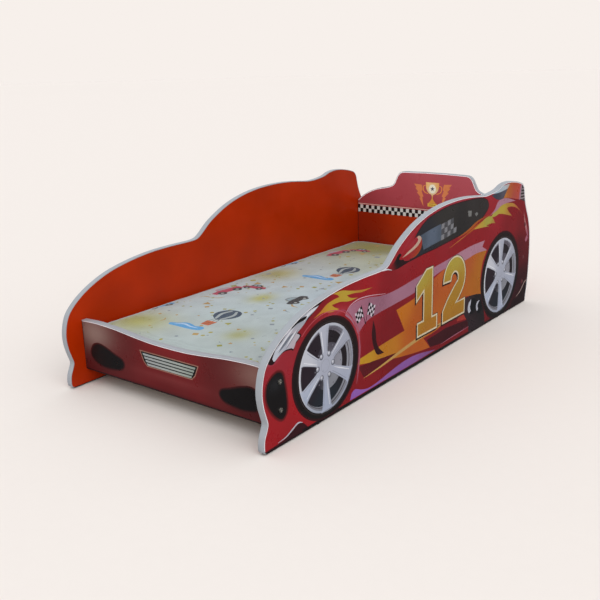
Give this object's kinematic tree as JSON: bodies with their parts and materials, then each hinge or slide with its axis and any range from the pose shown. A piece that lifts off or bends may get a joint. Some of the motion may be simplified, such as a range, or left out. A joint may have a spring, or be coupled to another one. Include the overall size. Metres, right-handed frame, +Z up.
{
  "type": "toddler bed",
  "caption": "Low toddler bed of laminated boards: racing-car side panels, head and foot boards, a slatted base and a lift-out foam mattress.",
  "frame": {"origin": "on the floor, midway between the side panels and midway from nose to tail", "axes": "+X to the right-hand side panel, seen from the foot; +Y from the foot (the car's nose) to the head; +Z up"},
  "size_m": [0.751, 1.562, 0.48],
  "materials": {
    "laminated_board": "satin",
    "printed_film": "gloss",
    "edge_banding": "satin",
    "pine": "matte",
    "slat_wood": "matte",
    "zinc_steel": "satin",
    "nickel_steel": "gloss",
    "cap_film": "satin",
    "glide_plastic": "matte",
    "foam": "matte",
    "printed_cloth": "matte",
    "zip_tape": "matte"
  },
  "bodies": {
    "frame": {"side_panel_right": "laminated_board", "side_panel_left": "laminated_board", "side_film_right": "printed_film", "side_film_left": "printed_film", "side_edging_right": "edge_banding", "side_edging_left": "edge_banding", "headboard": "laminated_board", "headboard_film": "printed_film", "headboard_edging": "edge_banding", "footboard": "laminated_board", "footboard_film": "printed_film", "footboard_edging": "edge_banding", "rail_right": "pine", "rail_left": "pine", "rail_screws": "zinc_steel", "slat_01": "slat_wood", "slat_02": "slat_wood", "slat_03": "slat_wood", "slat_04": "slat_wood", "slat_05": "slat_wood", "slat_06": "slat_wood", "slat_07": "slat_wood", "slat_08": "slat_wood", "slat_09": "slat_wood", "slat_10": "slat_wood", "slat_11": "slat_wood", "slat_12": "slat_wood", "slat_13": "slat_wood", "slat_screws": "zinc_steel", "panel_bolts": "nickel_steel", "barrel_nuts": "zinc_steel", "bolt_caps": "cap_film", "glides": "glide_plastic", "glide_nails": "zinc_steel"},
    "mattress": {"mattress_foam": "foam", "mattress_cover": "printed_cloth", "cover_zip": "zip_tape", "zip_slider": "nickel_steel"}
  },
  "joints": [
    {"name": "mattress_lift", "type": "slide", "parent": "frame", "child": "mattress", "axis": [0, 0, 1], "range_m": [0, 0.5]}
  ]
}
